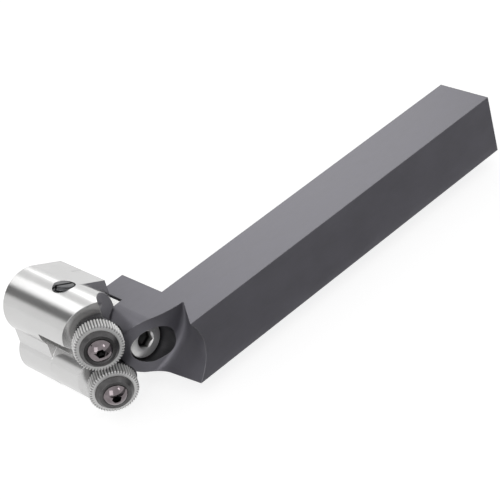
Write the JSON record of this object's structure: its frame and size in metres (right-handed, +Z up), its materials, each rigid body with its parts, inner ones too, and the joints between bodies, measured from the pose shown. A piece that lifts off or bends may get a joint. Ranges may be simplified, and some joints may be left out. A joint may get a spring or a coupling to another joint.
{
  "type": "knurling tool",
  "caption": "Cut-knurling tool on a square shank: a swivelling steel head carries splayed toothed wheels that roll a pattern into a turned bar.",
  "frame": {"origin": "middle of the shank's bottom face, 45 mm behind its head-end corner and midway across its 12 mm width", "axes": "+X along the shank to its rear end, +Y across the shank towards the head and parallel to the bar being knurled, +Z up"},
  "size_m": [0.0973, 0.0331, 0.0225],
  "materials": {
    "black_oxide_shank": "fine ground, black oxide",
    "satin_steel": "satin turned steel",
    "zinc_screw": "zinc plated",
    "black_screw": "black oxide",
    "brass_pad": "plain brass",
    "black_holder": "black oxide",
    "wheel_steel": "bright ground high speed steel",
    "bearing_steel": "ground steel",
    "black_cap": "black oxide, turned",
    "polished_black_screw": "glossy black"
  },
  "bodies": {
    "shank": {"shank_body": "black_oxide_shank"},
    "head": {"knurl_head": "satin_steel", "clamp_screw": "zinc_screw", "upper_set_screw": "black_screw", "upper_pressure_pad": "brass_pad", "lower_set_screw": "black_screw", "lower_pressure_pad": "brass_pad"},
    "upper_carrier": {"upper_holder": "black_holder", "upper_bearing_bush": "bearing_steel", "upper_rear_washer": "bearing_steel", "upper_wheel_cap": "black_cap", "upper_wheel_screw": "polished_black_screw"},
    "lower_carrier": {"lower_holder": "black_holder", "lower_bearing_bush": "bearing_steel", "lower_rear_washer": "bearing_steel", "lower_wheel_cap": "black_cap", "lower_wheel_screw": "polished_black_screw"},
    "upper_wheel": {"upper_knurl_wheel": "wheel_steel"},
    "lower_wheel": {"lower_knurl_wheel": "wheel_steel"}
  },
  "joints": [
    {"name": "head_swivel", "type": "hinge", "parent": "shank", "child": "head", "pos_m": [-0.046, 0.011, 0.006], "axis": [0, 1, 0], "range_deg": [-2, 2]},
    {"name": "upper_holder_turn", "type": "hinge", "parent": "head", "child": "upper_carrier", "pos_m": [-0.0544, 0.014, 0.0125], "axis": [0, 1, 0], "range_deg": [-2.5, 2.5]},
    {"name": "lower_holder_turn", "type": "hinge", "parent": "head", "child": "lower_carrier", "pos_m": [-0.0544, 0.014, 0.0031], "axis": [0, 1, 0], "range_deg": [-2.5, 2.5]},
    {"name": "upper_wheel_spin", "type": "hinge", "parent": "upper_carrier", "child": "upper_wheel", "pos_m": [-0.0561, 0.00405, 0.0125], "axis": [-0.4938, -0.866, 0.0782], "continuous": true},
    {"name": "lower_wheel_spin", "type": "hinge", "parent": "lower_carrier", "child": "lower_wheel", "pos_m": [-0.0561, 0.00405, 0.0031], "axis": [-0.4938, -0.866, -0.0782], "continuous": true}
  ]
}
